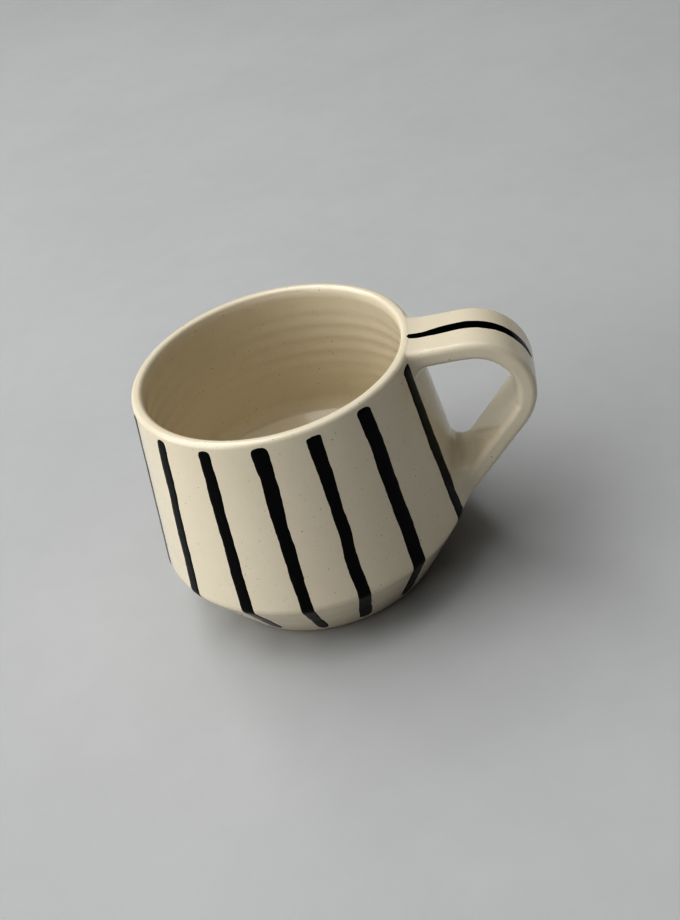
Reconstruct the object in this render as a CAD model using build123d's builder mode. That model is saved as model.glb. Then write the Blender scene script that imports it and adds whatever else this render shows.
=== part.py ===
from build123d import *
import math
import os

# Hand-thrown stoneware mug with a strap handle and brushed slip strokes.
# Millimetres. +Z is up, the origin is the centre of the foot on the resting
# plane, and the handle stands out along +X.

# Driving dimensions of the thrown body
mouth_radius = 40.0
belly_radius = 46.8
foot_radius = 34.5
height = 73.0
belly_height = 19.4
lip_thickness = 2.8
lip_round = 1.26
wall_thickness = 3.6
floor_thickness = 9.0
belly_round = 4.0
foot_round = 1.0
inner_belly_height = 26.8
inner_belly_round = 4.0
inner_floor_radius = 20.0
inner_floor_round = 18.0

# Driving dimensions of the strap handle
strap_width = 20.0
strap_thickness = 5.2
strap_drop = 0.7
bend_radius = 17.0
bend_reach = 54.3
diagonal_slope = 50.0
edge_round = 1.7
flare_radius = 20.0
flare_start = 46.0
root_depth = 4.0
outer_diagonal = 36.0
upper_root_fillet = 4.0
lower_root_fillet = 5.5
wall_depth = 2.0
overlap = 1.0

# Driving dimensions of the brushed slip strokes
stroke_thickness = 0.25
stroke_sweep = 5.2
stroke_top_gap = 3.2
stroke_foot_gap = 2.0
handle_stroke_width = 3.0
handle_stroke_end = 12.0
stroke_azimuths = [24, 46, 68, 91, 113, 135, 157, 179, 202.5, 226, 249.5, 271.5, 291.5, 313.5, 340.5]

# Worked out from the dimensions above
wall_lean = (belly_radius - mouth_radius) / (height - belly_height)
inner_belly_radius = belly_radius - wall_thickness
inner_mouth_radius = mouth_radius - lip_thickness

os.makedirs("parts", exist_ok=True)

# Outer form of the body as one filled solid, used to trim what is joined to it
with BuildPart() as envelope:
    with BuildSketch(Plane.XZ) as envelope_side:
        with BuildLine():
            Polyline(
                (0, 0),
                (foot_radius, 0),
                (belly_radius, belly_height),
                (mouth_radius, height),
                (0, height),
                close=True,
            )
        make_face()
        fillet(envelope_side.vertices().sort_by(Axis.X)[-1], radius=belly_round)
        foot_corner = envelope_side.vertices().group_by(Axis.Y)[0].sort_by(Axis.X)[-1]
        fillet(foot_corner, radius=foot_round)
        mouth_corner = envelope_side.vertices().group_by(Axis.Y)[-1].sort_by(Axis.X)[-1]
        fillet(mouth_corner, radius=lip_round)
    revolve(axis=Axis.Z)

# Thrown body: leaning wall, belly edge, bevel down to a flat foot, rounded lip
with BuildPart() as thrown_body:
    add(envelope.part)
    with BuildSketch(Plane.XZ) as hollow_side:
        with BuildLine():
            Polyline(
                (0, floor_thickness),
                (inner_floor_radius, floor_thickness),
                (inner_belly_radius, inner_belly_height),
                (inner_mouth_radius, height),
                (0, height),
                close=True,
            )
        make_face()
        fillet(hollow_side.vertices().sort_by(Axis.X)[-1], radius=inner_belly_round)
        floor_corner = hollow_side.vertices().group_by(Axis.Y)[0].sort_by(Axis.X)[-1]
        fillet(floor_corner, radius=inner_floor_round)
    revolve(axis=Axis.Z, mode=Mode.SUBTRACT)
    inner_lip_edge = thrown_body.edges().group_by(Axis.Z)[-1].sort_by(SortBy.RADIUS)[0]
    fillet(inner_lip_edge, radius=lip_round)

thrown_body.part.label = "thrown_body"
export_step(thrown_body.part, "parts/thrown_body.step")

# Strap handle, seen from the side: level top, one round bend, then a straight
# diagonal back to the belly edge. The opening follows it one thickness inside.
bend_centre = (bend_reach, height - strap_drop - bend_radius)
bend_sweep = 180 - diagonal_slope
slope = math.radians(diagonal_slope)
diagonal_way = Vector(-math.cos(slope), -math.sin(slope))
root_start = mouth_radius - root_depth
reach = bend_reach + bend_radius + overlap
half_strap = strap_width / 2
flare_sweep = math.degrees(math.asin((flare_start - root_start) / flare_radius))

with BuildPart() as strap_handle:
    with BuildSketch(Plane.XZ):
        with BuildLine():
            outer_top = Line((root_start, height - strap_drop), (bend_reach, height - strap_drop))
            outer_bend = CenterArc(bend_centre, bend_radius, 90, -bend_sweep)
            outer_back = Line(outer_bend @ 1, (outer_bend @ 1) + diagonal_way * outer_diagonal)
            Line(outer_back @ 1, (root_start, (outer_back @ 1).Y))
            Line((root_start, (outer_back @ 1).Y), outer_top @ 0)
        make_face()
    extrude(amount=strap_width, both=True)

    # Outline from above: the strap widens in an arc into the upper root
    with BuildSketch(Plane.XY):
        with BuildLine():
            flare_centre = (flare_start, half_strap + flare_radius)
            flare = CenterArc(flare_centre, flare_radius, 270, -flare_sweep)
            Line(flare @ 1, (root_start, 0))
            Line((root_start, 0), (reach, 0))
            Line((reach, 0), (reach, half_strap))
            Line((reach, half_strap), flare @ 0)
        make_face()
        mirror(about=Plane.XZ)
    extrude(amount=height, mode=Mode.INTERSECT)

    # The opening for the fingers, rounded where it meets the wall
    opening_level = height - strap_drop - strap_thickness
    wall_side = mouth_radius - wall_depth
    with BuildSketch(Plane.XZ) as opening_side:
        with BuildLine():
            inner_bend = CenterArc(bend_centre, bend_radius - strap_thickness, 90, -bend_sweep)
            bend_end = inner_bend @ 1
            gap_at_bend = bend_end.X - wall_side - (height - bend_end.Y) * wall_lean
            inner_diagonal = gap_at_bend / (math.cos(slope) + math.sin(slope) * wall_lean)
            inner_back = Line(bend_end, bend_end + diagonal_way * inner_diagonal)
            opening_corner = (wall_side + (height - opening_level) * wall_lean, opening_level)
            Line(inner_back @ 1, opening_corner)
            Line(opening_corner, inner_bend @ 0)
        make_face()
        fillet(opening_side.vertices().sort_by(Axis.Y)[0], radius=lower_root_fillet)
        fillet(opening_side.vertices().sort_by(Axis.X)[0], radius=upper_root_fillet)
    extrude(amount=strap_width, both=True, mode=Mode.SUBTRACT)

    # Soft edges along the strap
    long_edges = strap_handle.edges().filter_by(Axis.Y, reverse=True)
    fillet(long_edges.filter_by(lambda edge: edge.center().X > root_start + overlap / 2), radius=edge_round)

    # The strap ends on the wall
    add(envelope.part, mode=Mode.SUBTRACT)

strap_handle.part.label = "strap_handle"
export_step(strap_handle.part, "parts/strap_handle.step")

# Brushed slip stroke on the strap: along its level top and into the bend
with BuildPart() as handle_stroke:
    with BuildSketch(Plane.XZ):
        with BuildLine():
            strap_top = height - strap_drop
            slip_top = strap_top + stroke_thickness
            under_bend = CenterArc(bend_centre, bend_radius, 90, handle_stroke_end - 90)
            slip_radius = bend_radius + stroke_thickness
            over_bend = CenterArc(bend_centre, slip_radius, 90, handle_stroke_end - 90)
            Line(under_bend @ 1, over_bend @ 1)
            Line(over_bend @ 0, (mouth_radius, slip_top))
            Line((mouth_radius, slip_top), (mouth_radius, strap_top))
            Line((mouth_radius, strap_top), under_bend @ 0)
        make_face()
    extrude(amount=handle_stroke_width / 2, both=True)
    add(envelope.part, mode=Mode.SUBTRACT)

handle_stroke.part.label = "handle_stroke"
export_step(handle_stroke.part, "parts/handle_stroke.step")


def brush_stroke(azimuth):
    """A thin band of slip down the wall, over the belly edge and onto the bevel."""
    start = math.radians(azimuth - stroke_sweep / 2)
    start_plane = Plane(
        origin=(0, 0, 0),
        x_dir=(math.cos(start), math.sin(start), 0),
        z_dir=(math.sin(start), -math.cos(start), 0),
    )
    band_height = height - stroke_top_gap - stroke_foot_gap
    with BuildPart() as stroke:
        with BuildSketch(start_plane):
            add(envelope_side.sketch_local)
            offset(amount=stroke_thickness)
            add(envelope_side.sketch_local, mode=Mode.SUBTRACT)
            with Locations((foot_radius / 2, stroke_foot_gap)):
                Rectangle(belly_radius, band_height, align=(Align.MIN, Align.MIN), mode=Mode.INTERSECT)
        revolve(axis=Axis.Z, revolution_arc=stroke_sweep)
    return stroke.part


# Brushed slip strokes round the body, spaced by eye, none behind the handle
for number, azimuth in enumerate(stroke_azimuths, start=1):
    stroke_part = brush_stroke(azimuth)
    stroke_part.label = f"brush_stroke_{number:02d}"
    export_step(stroke_part, f"parts/{stroke_part.label}.step")
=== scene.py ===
"""Striped stoneware mug: a thrown body, a pulled strap handle and brushed slip strokes.

Everything is in metres, +Z up, with the foot's centre at the origin and the handle along +X.
The surfaces are worked out as whole arrays of points and made into finished meshes.
"""

import math

import bpy
import numpy as np
from mathutils import Matrix, Vector


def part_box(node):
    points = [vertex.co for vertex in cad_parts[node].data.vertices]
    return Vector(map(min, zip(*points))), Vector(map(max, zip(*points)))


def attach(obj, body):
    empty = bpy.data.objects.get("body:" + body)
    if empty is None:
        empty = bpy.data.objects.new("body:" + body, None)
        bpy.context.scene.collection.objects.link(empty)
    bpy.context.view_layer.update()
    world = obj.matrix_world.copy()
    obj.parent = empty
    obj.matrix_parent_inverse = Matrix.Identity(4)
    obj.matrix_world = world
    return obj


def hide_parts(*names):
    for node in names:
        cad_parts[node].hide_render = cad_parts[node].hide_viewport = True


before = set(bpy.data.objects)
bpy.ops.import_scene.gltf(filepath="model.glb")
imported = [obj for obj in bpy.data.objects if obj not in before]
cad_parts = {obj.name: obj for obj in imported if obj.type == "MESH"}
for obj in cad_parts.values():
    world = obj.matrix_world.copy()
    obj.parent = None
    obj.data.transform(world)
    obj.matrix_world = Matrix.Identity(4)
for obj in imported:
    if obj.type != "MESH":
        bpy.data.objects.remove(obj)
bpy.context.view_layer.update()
BODY_LOW, BODY_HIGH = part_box("thrown_body")
STRAP_LOW, STRAP_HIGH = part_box("strap_handle")
MM = 0.001

bl_info = {
    "name": "Striped stoneware mug",
    "version": (1, 0, 0),
    "blender": (4, 5, 0),
    "location": "3D View > Sidebar > Mug",
    "description": "Throws, handles and decorates a striped stoneware mug",
    "category": "Add Mesh",
}


# Sizes and colours that a maker would change


def length_prop(name, description, default):
    """A length in metres, shown in the scene's unit."""
    return bpy.props.FloatProperty(
        name=name, description=description, default=default, unit="LENGTH", subtype="DISTANCE", precision=5
    )


def colour_prop(name, description, default):
    """A linear colour without alpha."""
    return bpy.props.FloatVectorProperty(
        name=name, description=description, default=default, subtype="COLOR", size=3, min=0.0, max=1.0
    )


class BodySizes(bpy.types.PropertyGroup):
    """The thrown body's profile and the marks that throwing leaves on it."""

    height: length_prop("Height", "Foot to lip", BODY_HIGH.z)
    mouth_radius: length_prop("Mouth radius", "Outer radius under the lip", 40.0 * MM)
    belly_radius: length_prop("Belly radius", "Outer radius where wall and bevel would meet", 46.8 * MM)
    belly_height: length_prop("Belly height", "Foot to belly edge", 19.4 * MM)
    belly_round: length_prop("Belly rounding", "Radius that softens the belly edge", 3.6 * MM)
    foot_radius: length_prop("Foot radius", "Outer radius of the foot", 34.5 * MM)
    lip_thickness: length_prop("Lip thickness", "Wall just under the lip", 3.4 * MM)
    wall_thickness: length_prop("Wall thickness", "Wall at the belly edge", 3.6 * MM)
    lip_fall: length_prop("Lip fall", "How far the lip's inner side rounds down", 2.3 * MM)
    floor_height: length_prop("Floor height", "Foot to the inside floor", 9.0 * MM)
    floor_radius: length_prop("Floor radius", "Inside floor before its rounding", 20.0 * MM)
    inner_belly_height: length_prop("Inner belly height", "Foot to the inside corner", 26.8 * MM)
    foot_recess: length_prop("Foot recess", "Depth trimmed out under the foot", 0.7 * MM)
    ring_pitch: length_prop("Throwing ring pitch", "Rise of the finger marks inside in one turn", 5.2 * MM)
    ring_depth: length_prop("Throwing ring depth", "Depth of the finger marks inside", 0.14 * MM)


class StrapSizes(bpy.types.PropertyGroup):
    """The strap handle's path, section and roots."""

    width: length_prop("Width", "Strap width", 20.0 * MM)
    thickness: length_prop("Thickness", "Strap thickness", 5.2 * MM)
    drop: length_prop("Drop", "Lip down to the strap's top", BODY_HIGH.z - STRAP_HIGH.z)
    bend_radius: length_prop("Bend radius", "Outer radius of the bend", 17.0 * MM)
    bend_reach: length_prop("Bend reach", "Mug's axis to the start of the bend", STRAP_HIGH.x - 17.0 * MM)
    edge_round: length_prop("Edge rounding", "Radius of the strap's long edges", 1.7 * MM)
    slope: bpy.props.FloatProperty(
        name="Diagonal slope",
        description="Slope of the strap's lower run",
        default=math.radians(50.0),
        unit="ROTATION",
        subtype="ANGLE",
    )


class StrokeSizes(bpy.types.PropertyGroup):
    """The brushed slip strokes."""

    relief: length_prop("Relief", "How far the slip stands off the clay", 0.13 * MM)
    top_gap: length_prop("Top gap", "Lip down to where a stroke starts", 1.9 * MM)
    foot_gap: length_prop("Foot gap", "Height above the foot where a stroke ends", 2.2 * MM)
    handle_width: length_prop("Handle stroke width", "Width of the stroke on the strap", 3.5 * MM)


class GlazeLook(bpy.types.PropertyGroup):
    """Colours of the clay, the slip and the stage."""

    clay: colour_prop("Clay", "Glazed stoneware", (0.738, 0.672, 0.535))
    warm_clay: colour_prop("Warm clay", "Where the glaze lies thin over edges", (0.65, 0.57, 0.42))
    bare_clay: colour_prop("Bare clay", "Unglazed foot", (0.50, 0.40, 0.29))
    iron: colour_prop("Iron specks", "Small dark specks in the clay", (0.13, 0.075, 0.04))
    slip: colour_prop("Slip", "Black slip under the glaze", (0.0012, 0.0013, 0.0022))
    thin_slip: colour_prop("Thin slip", "Slip where the brush lays it thin", (0.0070, 0.0080, 0.0115))
    floor: colour_prop("Floor", "Plain floor", (0.455, 0.46, 0.46))


GROUPS = {
    "mug_body": BodySizes,
    "mug_strap": StrapSizes,
    "mug_strokes": StrokeSizes,
    "mug_glaze": GlazeLook,
}


# Shapes


def smooth_step(low, high, x):
    """0 below low, 1 above high and a smooth cubic rise between them."""
    t = np.clip((x - low) / (high - low), 0.0, 1.0)
    return t * t * (3.0 - 2.0 * t)


def drift(seed, x, longest, shortest, waves=7):
    """A hand's wandering: sines of seeded phase, each weaker as its wave is shorter."""
    rng = np.random.default_rng(seed)
    lengths = np.geomspace(longest, shortest, waves)
    weights = (lengths / longest) ** 0.8
    phases = rng.uniform(0.0, 2.0 * np.pi, waves)
    angles = 2.0 * np.pi * np.multiply.outer(x, 1.0 / lengths) + phases
    return np.sin(angles) @ weights / np.sqrt(np.sum(weights**2))


def round_drift(seed, azimuth, travel, pitch, turns=5):
    """Drift over a round surface: waves of whole turns in azimuth that change slowly along the wall."""
    rng = np.random.default_rng(seed)
    total = np.zeros(np.broadcast(azimuth, travel).shape)
    for turn in range(1, turns + 1):
        phase = rng.uniform(0.0, 2.0 * np.pi)
        lean = rng.uniform(-1.0, 1.0) / pitch
        total += np.cos(turn * azimuth + lean * travel + phase) / turn
    return total


def rounded_profile(corners, radii, arc_steps=14):
    """Points of an open line through the corners, each rounded by an arc tangent to both its sides."""
    corners = np.asarray(corners, float)
    points = [corners[:1]]
    for before, corner, after, radius in zip(corners[:-2], corners[1:-1], corners[2:], radii):
        way_in = (corner - before) / np.linalg.norm(corner - before)
        way_out = (after - corner) / np.linalg.norm(after - corner)
        turn = np.arctan2(way_in[0] * way_out[1] - way_in[1] * way_out[0], way_in @ way_out)
        start = corner - way_in * radius * np.tan(abs(turn) / 2.0)
        side = np.sign(turn) * np.array([-way_in[1], way_in[0]])
        angles = np.linspace(0.0, abs(turn), arc_steps)[:, None]
        points.append(start + radius * (np.sin(angles) * way_in + (1.0 - np.cos(angles)) * side))
    points.append(corners[-1:])
    return np.concatenate(points)


class Profile:
    """The body's half section: a line from under the foot, up the outside, over the lip and down inside.

    Travel is the distance along that line. Radius, height and the outward normal are read from a fine
    table of it.
    """

    STEPS = 6001

    def __init__(self, body):
        top = body.height
        throat = body.mouth_radius - body.lip_thickness
        inner_crest = body.mouth_radius - 0.82 * body.lip_thickness
        lip_round = body.lip_thickness * 0.40
        corners = [
            (0.0, body.foot_recess),
            (body.foot_radius - 9.0 * MM, body.foot_recess),
            (body.foot_radius - 6.5 * MM, 0.0),
            (body.foot_radius, 0.0),
            (body.belly_radius, body.belly_height),
            (body.mouth_radius, top),
            (inner_crest, top),
            (throat, top - body.lip_fall),
            (body.belly_radius - body.wall_thickness, body.inner_belly_height),
            (body.floor_radius, body.floor_height),
            (0.0, body.floor_height),
        ]
        radii = [3.0 * MM, 2.0 * MM, 1.1 * MM, body.belly_round]
        radii += [lip_round, 0.95 * lip_round, 5.0 * MM, 6.0 * MM, 18.0 * MM]
        line = rounded_profile(corners, radii)
        steps = np.hypot(*np.diff(line, axis=0).T)
        travel = np.concatenate([[0.0], np.cumsum(steps)])
        self.travel = np.linspace(0.0, travel[-1], self.STEPS)
        self.radius = np.interp(self.travel, travel, line[:, 0])
        self.height = np.interp(self.travel, travel, line[:, 1])
        slope_r = np.gradient(self.radius, self.travel)
        slope_z = np.gradient(self.height, self.travel)
        size = np.hypot(slope_r, slope_z)
        self.normal_r = slope_z / size
        self.normal_z = -slope_r / size
        self.crest = self.travel[np.argmax(self.height > top - 0.01 * MM)] + 0.1 * MM

    def at(self, travel):
        """Radius, height and the outward normal at the given travels."""
        return [
            np.interp(travel, self.travel, table)
            for table in (self.radius, self.height, self.normal_r, self.normal_z)
        ]

    def outer_travel(self, height):
        """Travel of the point at this height on the outside."""
        outside = (self.travel < self.crest) & (self.height > 0.05 * MM)
        return np.interp(height, self.height[outside], self.travel[outside])


def spread(travel, turning, count, turn_weight):
    """Positions along a line in equal steps of travel plus turn_weight per radian of turning."""
    effort = travel + turn_weight * turning
    return np.interp(np.linspace(effort[0], effort[-1], count), effort, travel)


def turned_angle(along_x, along_y):
    """How far a line has turned, in radians, at each of its points, given its tangent's two parts."""
    heading = np.unwrap(np.arctan2(along_y, along_x))
    return np.concatenate([[0.0], np.cumsum(np.abs(np.diff(heading)))])


def body_surface(body, profile, azimuth, travel, lift=0.0):
    """Points on the thrown clay: the profile at a travel, turned to an azimuth.

    The radius swells and shrinks with azimuth by two slow waves, the same inside and outside.
    The lip rises and falls by slow waves that fade 14 mm below it.
    Along the normal come the turning marks outside, the spiral of finger rings inside, and lift.
    """
    radius, height, normal_r, normal_z = profile.at(travel)
    out_of_round = 0.10 * MM * np.cos(2.0 * azimuth + 0.6) + 0.05 * MM * np.cos(3.0 * azimuth - 1.1)
    swell = out_of_round * smooth_step(10.0 * MM, 32.0 * MM, radius)
    near_lip = smooth_step(body.height - 14.0 * MM, body.height, height)
    lip_wave = 0.075 * MM * round_drift(3, azimuth, 0.0, 1.0, turns=4) * near_lip
    inside = smooth_step(-1.0 * MM, 5.0 * MM, travel - profile.crest - 1.5 * MM)
    wall_only = smooth_step(20.0 * MM, 36.0 * MM, radius)
    turn_share = azimuth / (2.0 * np.pi)
    ring_phase = 2.0 * np.pi * (travel / body.ring_pitch - turn_share)
    below_lip = travel - profile.crest
    upper_rings = smooth_step(7.0 * MM, 14.0 * MM, below_lip) * smooth_step(34.0 * MM, 22.0 * MM, below_lip)
    ring_strength = 0.25 + 0.75 * upper_rings + 0.2 * drift(21, travel, 40.0 * MM, 12.0 * MM, 3)
    rings = body.ring_depth * np.sin(ring_phase + 0.4 * np.sin(travel / (9.0 * MM))) * ring_strength
    rings = rings + 0.012 * MM * np.sin(3.7 * ring_phase)
    ribbing = 0.014 * MM * drift(22, travel + 1.5 * MM * turn_share, 9.0 * MM, 1.6 * MM, 6)
    soft_dents = 0.035 * MM * round_drift(5, azimuth, travel, 30.0 * MM)
    push = lift + wall_only * (inside * rings + (1.0 - inside) * (ribbing + soft_dents))
    r = radius + swell + normal_r * push
    z = height + lip_wave + normal_z * push
    return np.stack(np.broadcast_arrays(r * np.cos(azimuth), r * np.sin(azimuth), z), axis=-1)


class Strap:
    """The strap handle: a rounded section carried along a bent path, with roots that spread into the wall.

    The path lies in the X-Z plane: level from the wall, round the bend, down the diagonal and into the
    belly. A line of the strap keeps its place in the section. Near a root it leaves the path and runs on a
    cubic curve to the wall, tangent to the strap at one end and to the wall at the other. The curve's
    handles are as long as an arc of the same turn would need.

    A spread is how far a root runs out on the wall, and a reach how far it runs out on the strap. Both are
    given for the top face, the bottom face and the sides.
    """

    UPPER_SPREAD = (1.25 * MM, 3.6 * MM, 1.3 * MM)
    UPPER_REACH = (4.5 * MM, 4.0 * MM, 5.0 * MM)
    LOWER_SPREAD = (3.0 * MM, 7.5 * MM, 4.0 * MM)
    LOWER_REACH = (5.0 * MM, 8.5 * MM, 6.0 * MM)
    # Depths in the wall at which a root's edge lies and at which the root is closed
    SINK = 0.04 * MM
    CAP_DEPTH = 1.1 * MM
    # The path starts inside the mug and runs on past the bend by its tail, arched up a little
    PATH_START = 30.0 * MM
    PATH_TAIL = 46.0 * MM
    PATH_ARCH = 0.35 * MM
    # How far the middle of the top face and of the inner face stands up
    TOP_CROWN = 0.22 * MM
    INNER_CROWN = 0.10 * MM

    def __init__(self, body, profile, sizes):
        self.body = body
        self.profile = profile
        self.sizes = sizes
        half = sizes.thickness / 2.0
        level = body.height - sizes.drop - half
        centre_z = body.height - sizes.drop - sizes.bend_radius
        way_down = np.array([-math.cos(sizes.slope), -math.sin(sizes.slope)])
        side = np.array([math.sin(sizes.slope), -math.cos(sizes.slope)])
        bend_end = np.array([sizes.bend_reach, centre_z]) + side * (sizes.bend_radius - half)
        corner = bend_end - way_down * (level - bend_end[1]) / -way_down[1]
        corners = [(self.PATH_START, level), tuple(corner), tuple(bend_end + way_down * self.PATH_TAIL)]
        line = rounded_profile(corners, [sizes.bend_radius - half], arc_steps=80)
        distance = np.concatenate([[0.0], np.cumsum(np.hypot(*np.diff(line, axis=0).T))])
        self.length = distance[-1]
        self.distance = np.linspace(0.0, self.length, 2001)
        x = np.interp(self.distance, distance, line[:, 0])
        z = np.interp(self.distance, distance, line[:, 1])
        self.bend_start = sizes.bend_reach - self.PATH_START
        self.bend_stop = self.length - self.PATH_TAIL
        window = np.hanning(int(9.0 * MM / (self.distance[1] - self.distance[0])) | 1)
        self.x = self.smoothed(x, window)
        self.z = self.smoothed(z, window)
        self.z += self.PATH_ARCH * np.sin(np.pi * self.distance / self.bend_stop) ** 2
        self.slope_x = np.gradient(self.x, self.distance)
        self.slope_z = np.gradient(self.z, self.distance)
        self.make_section()

    @staticmethod
    def smoothed(values, window):
        """Values averaged under a window, with both ends run on straight."""
        pad = len(window) // 2
        before = values[0] + (values[1] - values[0]) * np.arange(-pad, 0)
        after = values[-1] + (values[-1] - values[-2]) * np.arange(1, pad + 1)
        return np.convolve(np.concatenate([before, values, after]), window / window.sum(), "valid")

    def make_section(self):
        """A table of the section's outline: a rectangle with rounded corners and slightly crowned faces."""
        w, t = self.sizes.width / 2.0, self.sizes.thickness / 2.0
        corners = [(0.0, -t), (w, -t), (w, t), (-w, t), (-w, -t), (0.0, -t)]
        line = rounded_profile(corners, [self.sizes.edge_round] * 4, arc_steps=24)
        distance = np.concatenate([[0.0], np.cumsum(np.hypot(*np.diff(line, axis=0).T))])
        even = np.linspace(0.0, distance[-1], 1201)
        across = np.interp(even, distance, line[:, 0])
        rise = np.interp(even, distance, line[:, 1])
        crown = self.crown(across, rise)
        slope_a, slope_r = np.gradient(across, even), np.gradient(rise + crown, even)
        size = np.hypot(slope_a, slope_r)
        turning = turned_angle(slope_a, slope_r)
        picked = spread(even, turning, 105, 3.0 * MM)[:-1]
        self.across = np.interp(picked, even, across)
        self.rise = np.interp(picked, even, rise + crown)
        self.out_across = np.interp(picked, even, slope_r / size)
        self.out_rise = np.interp(picked, even, -slope_a / size)

    def crown(self, across, rise):
        """How much a face stands up towards its middle: most on top, a little underneath."""
        share = 1.0 - (2.0 * across / self.sizes.width) ** 2
        stand = np.where(rise > 0.0, self.TOP_CROWN, -self.INNER_CROWN)
        return stand * share * smooth_step(0.0, 2.0 * MM, np.abs(rise))

    def along(self, distance, across, rise):
        """Points of the strap away from its roots, at a distance along the path and a place in the section.

        The hand's pull makes the width and thickness drift a little, and a slight crease crosses the inner
        face where the bend ends.
        """
        x = np.interp(distance, self.distance, self.x)
        z = np.interp(distance, self.distance, self.z)
        slope_x = np.interp(distance, self.distance, self.slope_x)
        slope_z = np.interp(distance, self.distance, self.slope_z)
        size = np.hypot(slope_x, slope_z)
        wider = 1.0 + 0.010 * drift(31, distance, 40.0 * MM, 10.0 * MM, 4)
        thicker = 1.0 + 0.014 * drift(32, distance, 30.0 * MM, 8.0 * MM, 4)
        sway = 0.12 * MM * drift(33, distance, 60.0 * MM, 20.0 * MM, 3)
        inner = smooth_step(0.0, -1.6 * MM, rise)
        crease = 0.28 * MM * np.exp(-(((distance - self.bend_stop + 4.0 * MM) / (1.1 * MM)) ** 2)) * inner
        rise = rise * thicker + crease
        px = x - slope_z / size * rise
        pz = z + slope_x / size * rise
        return np.stack(np.broadcast_arrays(px, across * wider + sway, pz), axis=-1)

    def meeting(self, across, rise, outside, inside):
        """Distance along the path at which a line of the strap meets the wall, found by halving."""
        shape = np.broadcast(across, rise).shape
        near = np.full(shape, outside)
        far = np.full(shape, inside)
        for _ in range(34):
            middle = (near + far) / 2.0
            p = self.along(middle, across, rise)
            wall = self.profile.at(self.profile.outer_travel(p[..., 2]))[0]
            is_outside = np.hypot(p[..., 0], p[..., 1]) > wall
            near = np.where(is_outside, middle, near)
            far = np.where(is_outside, far, middle)
        return (near + far) / 2.0

    def root(self, across, rise, out_across, out_rise, upper):
        """For lines of the strap, the curve that joins each to the wall: its four control points.

        Also returned are the distance at which the strap takes over and the foot's azimuth and travel.
        """
        outside = self.bend_start if upper else self.bend_stop
        inside = 0.0 if upper else self.length
        hit = self.meeting(across, rise, outside, inside)
        spreads = self.UPPER_SPREAD if upper else self.LOWER_SPREAD
        reaches = self.UPPER_REACH if upper else self.LOWER_REACH
        shares = (np.maximum(out_rise, 0.0) ** 2, np.maximum(-out_rise, 0.0) ** 2, out_across**2)
        spread_by = sum(part * share for part, share in zip(spreads, shares))
        reach = sum(part * share for part, share in zip(reaches, shares))
        start = self.along(hit, across, rise)
        azimuth = np.arctan2(start[..., 1], start[..., 0])
        travel = self.profile.outer_travel(start[..., 2])
        radius, _, normal_r, normal_z = self.profile.at(travel)
        cos, sin = np.cos(azimuth), np.sin(azimuth)
        slope_x = np.interp(hit, self.distance, self.slope_x)
        slope_z = np.interp(hit, self.distance, self.slope_z)
        parts = np.broadcast_arrays(-slope_z * out_rise, out_across, slope_x * out_rise)
        outward = np.stack(parts, axis=-1)
        round_way = np.stack([-sin, cos, np.zeros_like(sin)], axis=-1)
        up_way = np.stack([-normal_z * cos, -normal_z * sin, normal_r], axis=-1)
        go_round = np.sum(outward * round_way, axis=-1)
        go_up = np.sum(outward * up_way, axis=-1)
        size = np.hypot(go_round, go_up)
        foot_azimuth = azimuth + spread_by * go_round / size / radius
        foot_travel = travel + spread_by * go_up / size
        foot = body_surface(self.body, self.profile, foot_azimuth, foot_travel, -self.SINK)
        back = 0.02
        inner_azimuth = foot_azimuth + (azimuth - foot_azimuth) * back
        inner_travel = foot_travel + (travel - foot_travel) * back
        ahead = body_surface(self.body, self.profile, inner_azimuth, inner_travel, -self.SINK)
        wall_way = (ahead - foot) / np.linalg.norm(ahead - foot, axis=-1, keepdims=True)
        sign = 1.0 if upper else -1.0
        take_over = hit + sign * reach
        end = self.along(take_over, across, rise)
        step = 0.05 * MM
        strap_way = (self.along(take_over + sign * step, across, rise) - end) / step
        turn = np.arccos(np.clip(np.sum(wall_way * strap_way, axis=-1), -1.0, 0.999))
        pull = (4.0 / 3.0) * np.tan(turn / 4.0) / np.tan(turn / 2.0)
        one = foot + wall_way * (spread_by * pull)[..., None]
        two = end - strap_way * (reach * pull)[..., None]
        return (foot, one, two, end), take_over, foot_azimuth, foot_travel

    @staticmethod
    def cubic(controls, t):
        """The cubic curve of four control points at t."""
        t = np.asarray(t)[..., None]
        a, b, c, d = controls
        return (1 - t) ** 3 * a + 3 * (1 - t) ** 2 * t * b + 3 * (1 - t) * t**2 * c + t**3 * d

    def top_line(self, across, run):
        """Points on the strap's top face: across from its middle and run, the way out from the lip.

        The way is measured on the middle line, and the same share of it is used beside the middle.
        """
        rise = np.full(np.shape(across), self.sizes.thickness / 2.0)
        rise = rise + self.crown(across, rise)
        flat = np.zeros_like(rise)
        controls, take_over, _, _ = self.root(across, rise, flat, flat + 1.0, True)
        shares = np.linspace(0.0, 1.0, 41)
        top = np.array([self.sizes.thickness / 2.0 + self.TOP_CROWN])
        middle, middle_over, _, _ = self.root(np.zeros(1), top, np.zeros(1), np.ones(1), True)
        curve = self.cubic([c[0] for c in middle], shares)
        lengths = np.concatenate([[0.0], np.cumsum(np.linalg.norm(np.diff(curve, axis=0), axis=1))])
        t = np.interp(run, lengths, shares)
        on_root = self.cubic(controls, t)
        outer_x = self.x - self.slope_z * self.sizes.thickness / 2.0
        outer_z = self.z + self.slope_x * self.sizes.thickness / 2.0
        way = np.concatenate([[0.0], np.cumsum(np.hypot(np.diff(outer_x), np.diff(outer_z)))])
        way_over = np.interp(middle_over[0], self.distance, way)
        distance = np.interp(run - lengths[-1] + way_over, way, self.distance)
        on_strap = self.along(distance + (take_over - middle_over[0]), across, rise)
        return np.where((run < lengths[-1])[..., None], on_root, on_strap)

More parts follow.
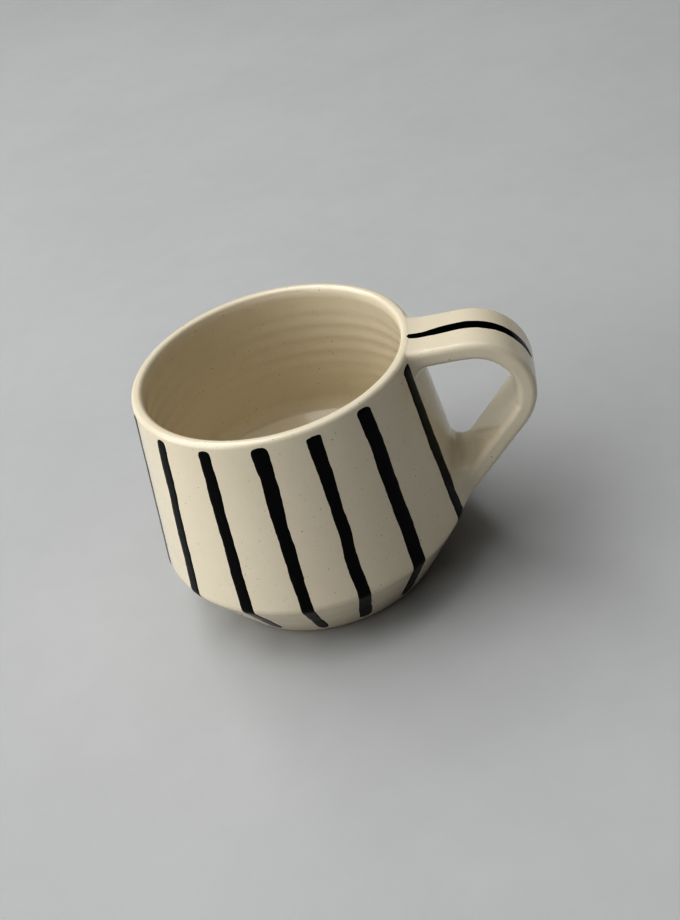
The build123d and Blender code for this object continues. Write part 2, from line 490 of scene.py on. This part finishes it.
    def rows(self):
        """Rings of the whole strap, from a cap inside the upper wall to a cap inside the lower wall."""
        args = (self.across, self.rise, self.out_across, self.out_rise)
        upper, upper_over, upper_azimuth, upper_travel = self.root(*args, True)
        lower, lower_over, lower_azimuth, lower_travel = self.root(*args, False)
        fillet = smooth_step(-0.35, 1.0, np.linspace(0.0, 1.0, 19))
        fillet = (fillet - fillet[0]) / (fillet[-1] - fillet[0])
        rings = [self.cubic(upper, np.full(len(self.across), t)) for t in fillet]
        middle_shares = np.linspace(0.0, 1.0, 170)[1:-1, None]
        distance = upper_over + (lower_over - upper_over) * middle_shares
        middle = self.along(distance, self.across, self.rise)
        rings_down = [self.cubic(lower, np.full(len(self.across), t)) for t in fillet[::-1]]
        upper_cap = self.cap(upper_azimuth, upper_travel)
        lower_cap = self.cap(lower_azimuth, lower_travel)[::-1]
        parts = [upper_cap[1:], np.array(rings), middle, np.array(rings_down), lower_cap[:-1]]
        rows = np.concatenate(parts)
        return rows, upper_cap[0, 0], lower_cap[-1, 0]

    def cap(self, azimuth, travel):
        """Rings that close a root inside the wall: its foot shrunk to its middle, under the surface."""
        shares = np.array([0.0, 0.35, 0.7, 1.0])[:, None]
        round_to = azimuth.mean() + (azimuth - azimuth.mean()) * shares
        up_to = travel.mean() + (travel - travel.mean()) * shares
        return body_surface(self.body, self.profile, round_to, up_to, -self.CAP_DEPTH)


# Meshes


def tube_object(name, rows, start_pole, end_pole):
    """A closed skin over rows of rings: four-sided faces between the rings and a fan to a point at each end.

    Faces point outwards when the ring's way crossed with the rows' way points outwards.
    """
    count, ring = rows.shape[:2]
    points = np.concatenate([rows.reshape(-1, 3), [start_pole, end_pole]])
    row = np.arange(count - 1)[:, None] * ring
    here = np.arange(ring)
    beside = (here + 1) % ring
    quads = np.stack([row + here, row + beside, row + ring + beside, row + ring + here], axis=-1)
    first_pole = np.full(ring, count * ring)
    last_row = (count - 1) * ring
    start_fan = np.stack([first_pole, beside, here], axis=-1)
    end_fan = np.stack([first_pole + 1, last_row + here, last_row + beside], axis=-1)
    mesh = bpy.data.meshes.new(name)
    faces = quads.reshape(-1, 4).tolist() + start_fan.tolist() + end_fan.tolist()
    mesh.from_pydata(points.tolist(), [], faces)
    mesh.shade_smooth()
    piece = bpy.data.objects.new(name, mesh)
    bpy.context.scene.collection.objects.link(piece)
    return piece


def finish_piece(piece, material, slot, *nodes):
    """Gives a piece its material, hides the CAD nodes it stands for and hangs it under the root."""
    piece.data.materials.append(material)
    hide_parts(*nodes)
    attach(piece, "root")


def brush_stroke(name, place, length, half_width, relief, seed):
    """A raised band of slip that lies on the clay.

    place gives points on the clay from a way across and a way along. half_width gives the band's half
    width at each way along. Both edges waver, the ends are blunt and rounded, and the band's height is one
    less the sixth power of the share across, with fine ridges left by the brush and a little more slip at
    its ends. The band's underside lies just inside the clay.
    """
    along_step, top_count, under_count = 0.3 * MM, 17, 7
    along = np.linspace(0.0, length, int(length / along_step))[1:-1, None]
    over = np.linspace(-1.0, 1.0, top_count)
    under = np.linspace(1.0, -1.0, under_count)[1:-1]
    share = np.concatenate([over, under])[None, :]
    on_top = (np.arange(share.size) < top_count)[None, :]
    blunt = np.random.default_rng(seed).uniform(1.0, 2.1) * MM
    start_cut = np.clip(1.0 - along / blunt, 0.0, 1.0)
    stop_cut = np.clip(1.0 - (length - along) / (1.5 * blunt), 0.0, 1.0)
    ends = (1.0 - start_cut**2.4) ** (1 / 2.4) * (1.0 - stop_cut**2.0) ** 0.5
    waver = 0.12 * MM
    left_edge = (half_width(along) + waver * drift(seed, along, 24.0 * MM, 0.7 * MM, 12)) * ends
    right_edge = (half_width(along) + waver * drift(seed + 1, along, 24.0 * MM, 0.7 * MM, 12)) * ends
    across = np.where(share < 0.0, share * left_edge, share * right_edge)
    ragged = 0.34 * MM * drift(seed + 2, share, 1.3, 0.16, 8) * smooth_step(3.0 * MM, 0.0, along)
    way = np.broadcast_to(along + ragged * ends, across.shape)
    step = 0.1 * MM
    points = place(across, way)
    across_way = place(across + step, way) - place(across - step, way)
    along_way = place(across, way + step) - place(across, way - step)
    normal = np.cross(across_way, along_way)
    normal /= np.linalg.norm(normal, axis=-1, keepdims=True)
    ridges = 1.0 + 0.10 * drift(seed + 3, across, 1.3 * MM, 0.35 * MM, 4)
    pool = 1.0 + 0.35 * np.exp(-along / (2.5 * MM)) + 0.3 * np.exp(-(length - along) / (3.0 * MM))
    height = relief * (1.0 - np.abs(share) ** 6) * ridges * pool * ends - 0.012 * MM
    lift = np.where(on_top, height, -0.06 * MM)
    rows = points + normal * lift[..., None]
    poles = place(np.zeros((2, 1)), np.array([[0.0], [length]])).reshape(2, 3)
    piece = tube_object(name, rows, poles[0], poles[1])
    brush = np.stack(np.broadcast_arrays(across, along, float(seed % 97)), axis=-1).reshape(-1, 3)
    brush = np.concatenate([brush, [[0.0, 0.0, seed % 97], [0.0, length, seed % 97]]])
    attribute = piece.data.attributes.new("brush", "FLOAT_VECTOR", "POINT")
    attribute.data.foreach_set("vector", brush.astype(np.float32).ravel())
    return piece


# Materials

# A Mix node's sockets for colours, by their places in its lists
MIX_FACTOR, MIX_FIRST, MIX_SECOND, MIX_RESULT = 0, 6, 7, 2
GLAZE_IOR = 1.5
SKIN_BUMP = {"Strength": 0.6, "Distance": 0.12 * MM}


def add_node(tree, kind, inputs=None, **settings):
    """Adds a node, sets it up and feeds its inputs with values or with other nodes' outputs."""
    node = tree.nodes.new(kind)
    for name, value in settings.items():
        setattr(node, name, value)
    for key, value in (inputs or {}).items():
        if isinstance(value, bpy.types.NodeSocket):
            tree.links.new(value, node.inputs[key])
        else:
            node.inputs[key].default_value = value
    return node


def add_math(tree, operation, first, second=0.0, third=0.0):
    """A Math node's result."""
    inputs = {0: first, 1: second, 2: third}
    return add_node(tree, "ShaderNodeMath", inputs, operation=operation).outputs[0]


def add_noise(tree, vector, scale, detail=2.0, roughness=0.5):
    """Noise between 0 and 1."""
    inputs = {"Vector": vector, "Scale": scale, "Detail": detail, "Roughness": roughness}
    return add_node(tree, "ShaderNodeTexNoise", inputs).outputs[0]


def add_range(tree, value, low, high, to_low=0.0, to_high=1.0):
    """A value carried from one range to another, smoothly and without leaving it."""
    inputs = {0: value, 1: low, 2: high, 3: to_low, 4: to_high}
    return add_node(tree, "ShaderNodeMapRange", inputs, interpolation_type="SMOOTHSTEP").outputs[0]


def add_mix(tree, factor, first, second):
    """A colour between two others."""
    node = tree.nodes.new("ShaderNodeMix")
    node.data_type = "RGBA"
    for index, value in ((MIX_FACTOR, factor), (MIX_FIRST, first), (MIX_SECOND, second)):
        if isinstance(value, bpy.types.NodeSocket):
            tree.links.new(value, node.inputs[index])
        elif index == MIX_FACTOR:
            node.inputs[index].default_value = value
        else:
            node.inputs[index].default_value = (*value, 1.0)
    return node.outputs[MIX_RESULT]


def new_group(name, inputs, outputs):
    """An empty node group with named sockets, and its input and output nodes."""
    group = bpy.data.node_groups.new(name, "ShaderNodeTree")
    for label, kind, default in inputs:
        socket = group.interface.new_socket(label, in_out="INPUT", socket_type=kind)
        if default is not None:
            socket.default_value = default
    for label, kind in outputs:
        group.interface.new_socket(label, in_out="OUTPUT", socket_type=kind)
    return group, group.nodes.new("NodeGroupInput"), group.nodes.new("NodeGroupOutput")


def glaze_skin_group():
    """The glaze's skin: orange peel, slow swells and rare pinholes as a height, and a drifting roughness."""
    group, into, out = new_group(
        "glaze_skin",
        [
            ("Vector", "NodeSocketVector", None),
            ("Smoothest", "NodeSocketFloat", 0.16),
            ("Roughest", "NodeSocketFloat", 0.30),
        ],
        [("Height", "NodeSocketFloat"), ("Roughness", "NodeSocketFloat")],
    )
    vector = into.outputs["Vector"]
    peel = add_noise(group, vector, 620.0, 1.5)
    swell = add_noise(group, vector, 120.0, 2.0)
    cells = add_node(group, "ShaderNodeTexVoronoi", {"Vector": vector, "Scale": 260.0})
    chosen = add_node(group, "ShaderNodeSeparateColor", {0: cells.outputs["Color"]})
    rare = add_range(group, chosen.outputs[0], 0.93, 0.94)
    hole = add_math(group, "MULTIPLY", add_range(group, cells.outputs["Distance"], 0.045, 0.015), rare)
    height = add_math(group, "MULTIPLY", peel, 0.10)
    height = add_math(group, "ADD", height, add_math(group, "MULTIPLY", swell, 0.55))
    height = add_math(group, "SUBTRACT", height, add_math(group, "MULTIPLY", hole, 0.5))
    patches = add_noise(group, vector, 55.0, 4.0, 0.6)
    roughness = add_node(
        group,
        "ShaderNodeMapRange",
        {0: patches, 1: 0.3, 2: 0.7, 3: into.outputs["Smoothest"], 4: into.outputs["Roughest"]},
    ).outputs[0]
    group.links.new(height, out.inputs["Height"])
    group.links.new(roughness, out.inputs["Roughness"])
    return group


def specks_group():
    """Specks scattered through clay: the middles of cells, each of its own size, most of them left out."""
    group, into, out = new_group(
        "specks",
        [
            ("Vector", "NodeSocketVector", None),
            ("Scale", "NodeSocketFloat", 420.0),
            ("Largest", "NodeSocketFloat", 0.11),
            ("Rarity", "NodeSocketFloat", 0.7),
        ],
        [("Mask", "NodeSocketFloat")],
    )
    inputs = {"Vector": into.outputs["Vector"], "Scale": into.outputs["Scale"]}
    wobble = add_noise(group, into.outputs["Vector"], 2600.0, 1.0)
    cells = add_node(group, "ShaderNodeTexVoronoi", inputs)
    chosen = add_node(group, "ShaderNodeSeparateColor", {0: cells.outputs["Color"]})
    share = add_math(group, "MULTIPLY_ADD", add_math(group, "POWER", chosen.outputs[1], 2.0), 0.7, 0.3)
    size = add_math(group, "MULTIPLY", share, into.outputs["Largest"])
    edge = add_math(group, "ADD", cells.outputs["Distance"], add_math(group, "MULTIPLY", wobble, 0.06))
    ratio = add_math(group, "DIVIDE", edge, add_math(group, "ADD", size, 0.03))
    inside = add_range(group, ratio, 1.25, 0.75)
    kept = add_math(group, "GREATER_THAN", chosen.outputs[0], into.outputs["Rarity"])
    mask = add_math(group, "MULTIPLY", inside, kept)
    mask = add_math(group, "MULTIPLY", mask, add_range(group, chosen.outputs[2], 0.0, 1.0, 0.25, 1.0))
    group.links.new(mask, out.inputs["Mask"])
    return group


def mottle_group():
    """Two layers of slow cloudy noise that shade one colour towards another."""
    group, into, out = new_group(
        "mottle",
        [
            ("Vector", "NodeSocketVector", None),
            ("Scale", "NodeSocketFloat", 30.0),
            ("Strength", "NodeSocketFloat", 0.3),
            ("First", "NodeSocketColor", (0.5, 0.5, 0.5, 1.0)),
            ("Second", "NodeSocketColor", (0.4, 0.4, 0.4, 1.0)),
        ],
        [("Color", "NodeSocketColor")],
    )
    vector, scale = into.outputs["Vector"], into.outputs["Scale"]
    broad = add_noise(group, vector, scale, 3.0, 0.55)
    fine = add_noise(group, vector, add_math(group, "MULTIPLY", scale, 9.0), 3.0, 0.6)
    fine_part = add_math(group, "MULTIPLY", fine, 0.3)
    cloud = add_math(group, "ADD", add_math(group, "MULTIPLY", broad, 0.7), fine_part)
    share = add_math(group, "MULTIPLY", add_range(group, cloud, 0.32, 0.68), into.outputs["Strength"])
    color = add_mix(group, share, into.outputs["First"], into.outputs["Second"])
    group.links.new(color, out.inputs["Color"])
    return group


def place_group(tree, maker, inputs):
    """Places a shared group in a material, building it the first time."""
    name = maker.__name__.removesuffix("_group")
    group = bpy.data.node_groups.get(name) or maker()
    return add_node(tree, "ShaderNodeGroup", inputs, node_tree=group)


def new_material(name):
    """A material with only a Principled shader and an output."""
    material = bpy.data.materials.new(name)
    material.use_nodes = True
    tree = material.node_tree
    tree.nodes.clear()
    shader = tree.nodes.new("ShaderNodeBsdfPrincipled")
    output = tree.nodes.new("ShaderNodeOutputMaterial")
    tree.links.new(shader.outputs[0], output.inputs[0])
    place = tree.nodes.new("ShaderNodeTexCoord").outputs["Object"]
    return material, tree, shader, place


def opaque(colour):
    """A colour with full alpha."""
    return (*colour, 1.0)


def stoneware_material(look, body):
    """Glazed cream stoneware.

    Slow clouds shade the cream, the glaze turns warmer over the belly edge, small iron specks sit in it, and
    the foot ring is bare clay, rougher and darker, with a wandering glaze line.
    """
    material = bpy.data.materials.get("cream_glaze")
    if material:
        return material
    material, tree, shader, place = new_material("cream_glaze")
    cream = place_group(
        tree,
        mottle_group,
        {
            "Vector": place,
            "Scale": 26.0,
            "Strength": 0.30,
            "First": opaque(look.clay),
            "Second": opaque(look.warm_clay),
        },
    ).outputs["Color"]
    height = add_node(tree, "ShaderNodeSeparateXYZ", {0: place}).outputs[2]
    flat = add_node(tree, "ShaderNodeVectorMath", {0: place, 1: (1.0, 1.0, 0.0)}, operation="MULTIPLY")
    length = add_node(tree, "ShaderNodeVectorMath", {0: flat.outputs[0]}, operation="LENGTH")
    reach = length.outputs["Value"]
    wander = add_noise(tree, place, 90.0, 3.0)

    ragged_height = add_math(tree, "ADD", height, add_math(tree, "MULTIPLY", wander, 1.6 * MM))
    above_belly = add_math(tree, "SUBTRACT", ragged_height, body.belly_height + 0.3 * MM)
    at_belly = add_range(tree, add_math(tree, "ABSOLUTE", above_belly), 2.6 * MM, 0.4 * MM)
    outside = add_range(tree, reach, body.belly_radius - 2.2 * MM, body.belly_radius)
    thin = add_math(tree, "MULTIPLY", add_math(tree, "MULTIPLY", at_belly, outside), 0.35)
    cream = add_mix(tree, thin, cream, tuple(look.warm_clay))

    masks = []
    for scale, largest, rarity, darkness in ((1000.0, 0.19, 0.72, 0.95), (1900.0, 0.20, 0.60, 0.45)):
        inputs = {"Vector": place, "Scale": scale, "Largest": largest, "Rarity": rarity}
        specks = place_group(tree, specks_group, inputs)
        masks.append(add_math(tree, "MULTIPLY", specks.outputs["Mask"], darkness))
    cream = add_mix(tree, add_math(tree, "MAXIMUM", *masks), cream, tuple(look.iron))

    glaze_line = add_math(tree, "ADD", height, add_math(tree, "MULTIPLY", wander, 1.2 * MM))
    low = add_range(tree, glaze_line, 1.9 * MM, 1.6 * MM)
    bare = add_math(tree, "MULTIPLY", low, add_range(tree, reach, 23.5 * MM, 25.0 * MM))
    colour = add_mix(tree, bare, cream, tuple(look.bare_clay))
    skin = place_group(tree, glaze_skin_group, {"Vector": place, "Smoothest": 0.08, "Roughest": 0.18})
    rough = add_math(tree, "MAXIMUM", skin.outputs["Roughness"], add_math(tree, "MULTIPLY", bare, 0.75))
    grit = add_noise(tree, place, 2400.0, 3.0, 0.7)
    grit = add_math(tree, "MULTIPLY", grit, add_math(tree, "MULTIPLY", bare, 0.8))
    relief = add_math(tree, "ADD", skin.outputs["Height"], grit)
    bump = add_node(tree, "ShaderNodeBump", {"Height": relief, **SKIN_BUMP})
    tree.links.new(colour, shader.inputs["Base Color"])
    tree.links.new(rough, shader.inputs["Roughness"])
    tree.links.new(bump.outputs[0], shader.inputs["Normal"])
    shader.inputs["IOR"].default_value = GLAZE_IOR
    return material


def slip_material(look):
    """Black slip under the same glaze.

    Streaks run along the band and small patches change its tone, lighter where the brush laid it thin.
    """
    material = bpy.data.materials.get("glazed_slip")
    if material:
        return material
    material, tree, shader, place = new_material("glazed_slip")
    brush = add_node(tree, "ShaderNodeAttribute", attribute_name="brush", attribute_type="GEOMETRY")
    stretch = {0: brush.outputs["Vector"], 1: (1800.0, 60.0, 1.0)}
    streaky = add_node(tree, "ShaderNodeVectorMath", stretch, operation="MULTIPLY")
    streaks = add_noise(tree, streaky.outputs[0], 1.0, 3.0, 0.6)
    patches = add_noise(tree, place, 300.0, 3.0, 0.6)
    thin = add_range(tree, add_math(tree, "MULTIPLY", streaks, patches), 0.28, 0.46)
    colour = add_mix(tree, thin, tuple(look.slip), tuple(look.thin_slip))
    skin = place_group(tree, glaze_skin_group, {"Vector": place, "Smoothest": 0.08, "Roughest": 0.16})
    ridges = add_math(tree, "ADD", skin.outputs["Height"], add_math(tree, "MULTIPLY", streaks, 0.25))
    bump = add_node(tree, "ShaderNodeBump", {"Height": ridges, **SKIN_BUMP})
    tree.links.new(colour, shader.inputs["Base Color"])
    tree.links.new(skin.outputs["Roughness"], shader.inputs["Roughness"])
    tree.links.new(bump.outputs[0], shader.inputs["Normal"])
    shader.inputs["IOR"].default_value = GLAZE_IOR
    shader.inputs["Specular IOR Level"].default_value = 0.15
    return material


def floor_material(look):
    """A plain pale floor with slow grey clouds."""
    material, tree, shader, place = new_material("pale_floor")
    darker = tuple(0.90 * value for value in look.floor)
    inputs = {"Vector": place, "Scale": 9.0, "Strength": 0.5}
    inputs |= {"First": opaque(look.floor), "Second": opaque(darker)}
    mottle = place_group(tree, mottle_group, inputs)
    tree.links.new(mottle.outputs["Color"], shader.inputs["Base Color"])
    shader.inputs["Roughness"].default_value = 0.75
    return material


# Operators

BRUSH_STROKES = (
    # name, azimuth at the lip, azimuth at the belly, azimuth at the foot (degrees), widths going down (mm)
    ("brush_stroke_01", 24.4, 24.0, 24.3, (3.9, 3.8, 4.0, 4.2)),
    ("brush_stroke_02", 46.6, 46.0, 45.6, (4.2, 3.7, 3.9, 4.3)),
    ("brush_stroke_03", 67.6, 68.3, 68.6, (4.4, 4.0, 3.8, 4.1)),
    ("brush_stroke_04", 91.4, 90.6, 90.9, (3.8, 3.6, 4.1, 4.4)),
    ("brush_stroke_05", 112.5, 113.3, 113.0, (4.3, 3.9, 3.6, 3.9)),
    ("brush_stroke_06", 135.6, 135.2, 134.7, (4.0, 4.1, 4.2, 4.5)),
    ("brush_stroke_07", 157.3, 156.5, 157.2, (3.7, 3.8, 4.0, 4.1)),
    ("brush_stroke_08", 178.9, 178.9, 179.2, (4.1, 3.9, 3.8, 4.2)),
    ("brush_stroke_09", 202.6, 202.6, 202.2, (3.8, 3.7, 3.9, 4.1)),
    ("brush_stroke_10", 227.3, 225.2, 225.0, (3.85, 3.9, 4.1, 4.4)),
    ("brush_stroke_11", 249.3, 249.8, 250.0, (3.8, 3.75, 3.9, 4.1)),
    ("brush_stroke_12", 270.8, 271.7, 272.0, (4.6, 3.9, 3.5, 3.0)),
    ("brush_stroke_13", 291.3, 291.6, 291.8, (4.2, 3.4, 3.7, 4.05)),
    ("brush_stroke_14", 312.9, 314.2, 314.4, (4.5, 4.5, 4.6, 4.7)),
    ("brush_stroke_15", 340.9, 341.3, 341.5, (4.2, 4.6, 4.9, 5.2)),
)


class MUG_OT_throw_body(bpy.types.Operator):
    """Throw the body: foot, bevelled belly, leaning wall and rounded lip in one wall of clay"""

    bl_idname = "mug.throw_body"
    bl_label = "Throw body"

    def execute(self, context):
        scene = context.scene
        body = scene.mug_body
        profile = Profile(body)
        rings, ring_points = 246, 380
        turning = turned_angle(profile.normal_z, profile.normal_r)
        travel = spread(profile.travel, turning, rings, 12.0 * MM)[1:-1, None]
        azimuth = np.linspace(0.0, 2.0 * np.pi, ring_points, endpoint=False)[None, :]
        rows = body_surface(body, profile, azimuth, travel)
        poles = (0.0, 0.0, body.foot_recess), (0.0, 0.0, body.floor_height)
        piece = tube_object("body_clay", rows, *poles)
        finish_piece(piece, stoneware_material(scene.mug_glaze, body), "glazed_stoneware", "thrown_body")
        return {"FINISHED"}


class MUG_OT_pull_strap(bpy.types.Operator):
    """Pull the strap handle and blend its two roots into the wall"""

    bl_idname = "mug.pull_strap"
    bl_label = "Pull strap handle"

    def execute(self, context):
        scene = context.scene
        body = scene.mug_body
        strap = Strap(body, Profile(body), scene.mug_strap)
        piece = tube_object("handle_clay", *strap.rows())
        finish_piece(piece, stoneware_material(scene.mug_glaze, body), "glazed_stoneware", "strap_handle")
        return {"FINISHED"}


class MUG_OT_brush_wall_strokes(bpy.types.Operator):
    """Brush the fifteen slip strokes down the wall and over the belly edge"""

    bl_idname = "mug.brush_wall_strokes"
    bl_label = "Brush wall strokes"

    def execute(self, context):
        scene = context.scene
        body = scene.mug_body
        sizes = scene.mug_strokes
        profile = Profile(body)
        material = slip_material(scene.mug_glaze)
        for number, (node, *azimuths, widths) in enumerate(BRUSH_STROKES, 1):
            seed = 100 + 10 * number
            rng = np.random.default_rng(seed)
            start = profile.outer_travel(body.height - sizes.top_gap + rng.uniform(-0.5, 0.5) * MM)
            stop = profile.outer_travel(sizes.foot_gap + rng.uniform(-0.4, 0.6) * MM)
            heights = (body.height, body.belly_height, 0.0)[::-1]
            leans = np.radians(azimuths)[::-1]

            def place(across, along, start=start, heights=heights, leans=leans, seed=seed):
                travel = start - along
                radius, height = profile.at(travel)[:2]
                wander = 0.18 * MM * drift(seed + 5, along, 60.0 * MM, 18.0 * MM, 3)
                azimuth = np.interp(height, heights, leans) - (across + wander) / radius
                return body_surface(body, profile, azimuth, travel)

            def half_width(along, start=start, stop=stop, widths=widths):
                shares = np.linspace(0.0, 1.0, len(widths))
                return np.interp(along / (start - stop), shares, widths) * MM / 2.0

            piece = brush_stroke(
                f"slip_stroke_{number:02d}", place, start - stop, half_width, sizes.relief, seed
            )
            finish_piece(piece, material, "black_slip", node)
        return {"FINISHED"}


class MUG_OT_brush_handle_stroke(bpy.types.Operator):
    """Brush the one slip stroke along the top of the strap, from the lip into the bend"""

    bl_idname = "mug.brush_handle_stroke"
    bl_label = "Brush handle stroke"

    def execute(self, context):
        scene = context.scene
        body = scene.mug_body
        sizes = scene.mug_strokes
        strap = Strap(body, Profile(body), scene.mug_strap)
        length = 39.0 * MM
        taper_start = length - 9.0 * MM

        def half_width(along):
            swelling = 0.62 + 0.38 * smooth_step(0.0, 9.0 * MM, along)
            taper = 1.0 - 0.45 * smooth_step(taper_start, length, along)
            return sizes.handle_width / 2.0 * swelling * taper

        def place(across, along):
            across, along = np.broadcast_arrays(across, along)
            sidestep = 1.3 * MM * smooth_step(16.0 * MM, 0.0, along)
            return strap.top_line(-across - sidestep, along)

        piece = brush_stroke("slip_stroke_handle", place, length, half_width, sizes.relief, seed=300)
        finish_piece(piece, slip_material(scene.mug_glaze), "black_slip", "handle_stroke")
        return {"FINISHED"}


def look_at(place, target, roll):
    """The placing of a camera or light that looks along its own -Z at target, rolled about that line."""
    way = (Vector(target) - Vector(place)).to_track_quat("-Z", "Y").to_matrix().to_4x4()
    return Matrix.Translation(place) @ way @ Matrix.Rotation(roll, 4, "Z")


def add_soft_light(name, target, azimuth, elevation, distance, size, power):
    """A rectangular studio light, placed by its azimuth and elevation about the target."""
    data = bpy.data.lights.new(name, "AREA")
    data.shape = "RECTANGLE"
    data.size, data.size_y = size
    data.energy = power
    light = bpy.data.objects.new(name, data)
    bpy.context.scene.collection.objects.link(light)
    around, up = math.radians(azimuth), math.radians(elevation)
    way = Vector((math.cos(around) * math.cos(up), math.sin(around) * math.cos(up), math.sin(up)))
    light.matrix_world = look_at(Vector(target) + way * distance, target, 0.0)


class MUG_OT_set_stage(bpy.types.Operator):
    """Set the stage: a pale floor, soft studio light and the camera"""

    bl_idname = "mug.set_stage"
    bl_label = "Set stage"

    def execute(self, context):
        scene = context.scene
        half = 4.0
        mesh = bpy.data.meshes.new("stage_floor")
        corners = [(-half, -half, 0.0), (half, -half, 0.0), (half, half, 0.0), (-half, half, 0.0)]
        mesh.from_pydata(corners, [], [(0, 1, 2, 3)])
        mesh.materials.append(floor_material(scene.mug_glaze))
        floor = bpy.data.objects.new("stage_floor", mesh)
        scene.collection.objects.link(floor)

        world = bpy.data.worlds.new("studio")
        world.use_nodes = True
        background = world.node_tree.nodes["Background"]
        background.inputs["Color"].default_value = (0.92, 0.96, 1.0, 1.0)
        background.inputs["Strength"].default_value = 0.03
        scene.world = world

        middle = (10.0 * MM, 0.0, 36.0 * MM)
        for name, azimuth, elevation, distance, size, power in (
            ("key_light", 207.0, 20.0, 1.6, (1.8, 1.4), 14.2),
            ("high_light", 175.0, 62.0, 1.6, (1.8, 1.4), 15.0),
            ("window_light", 118.0, 48.0, 1.6, (0.30, 0.45), 2.2),
            ("top_light", 207.0, 88.0, 1.8, (2.0, 2.0), 8.6),
            ("side_light", 20.0, 10.0, 1.8, (2.0, 0.8), 1.8),
            ("front_light", 300.0, 12.0, 1.8, (2.0, 0.8), 0.7),
        ):
            add_soft_light(name, middle, azimuth, elevation, distance, size, power)

        data = bpy.data.cameras.new("camera")
        data.lens = 47.98
        data.sensor_width = 36.0
        camera = bpy.data.objects.new("camera", data)
        scene.collection.objects.link(camera)
        place = Vector((0.0751, -0.2852, 0.2460))
        target = Vector((0.0120, -0.0032, 0.0365))
        camera.matrix_world = look_at(place, target, math.radians(-16.09))
        scene.camera = camera
        scene.view_settings.view_transform = "Standard"
        scene.view_settings.look = "High Contrast"
        return {"FINISHED"}


class MUG_PT_panel(bpy.types.Panel):
    """The mug's sizes, colours and operators in the sidebar"""

    bl_idname = "MUG_PT_panel"
    bl_label = "Striped stoneware mug"
    bl_space_type = "VIEW_3D"
    bl_region_type = "UI"
    bl_category = "Mug"

    def draw(self, context):
        for name, kind in GROUPS.items():
            box = self.layout.box()
            for prop in kind.__annotations__:
                box.prop(getattr(context.scene, name), prop)
        for operator in OPERATORS:
            self.layout.operator(operator.bl_idname)


OPERATORS = (
    MUG_OT_throw_body,
    MUG_OT_pull_strap,
    MUG_OT_brush_wall_strokes,
    MUG_OT_brush_handle_stroke,
    MUG_OT_set_stage,
)
CLASSES = (*GROUPS.values(), *OPERATORS, MUG_PT_panel)


def register():
    """Registers the classes and hangs the settings on the scene."""
    for kind in CLASSES:
        bpy.utils.register_class(kind)
    for name, kind in GROUPS.items():
        setattr(bpy.types.Scene, name, bpy.props.PointerProperty(type=kind))


def unregister():
    """Takes the settings and classes away again."""
    for name in GROUPS:
        delattr(bpy.types.Scene, name)
    for kind in reversed(CLASSES):
        bpy.utils.unregister_class(kind)


def main():
    """Makes the mug and its stage."""
    register()
    bpy.ops.mug.throw_body()
    bpy.ops.mug.pull_strap()
    bpy.ops.mug.brush_wall_strokes()
    bpy.ops.mug.brush_handle_stroke()
    bpy.ops.mug.set_stage()


if __name__ == "__main__":
    main()
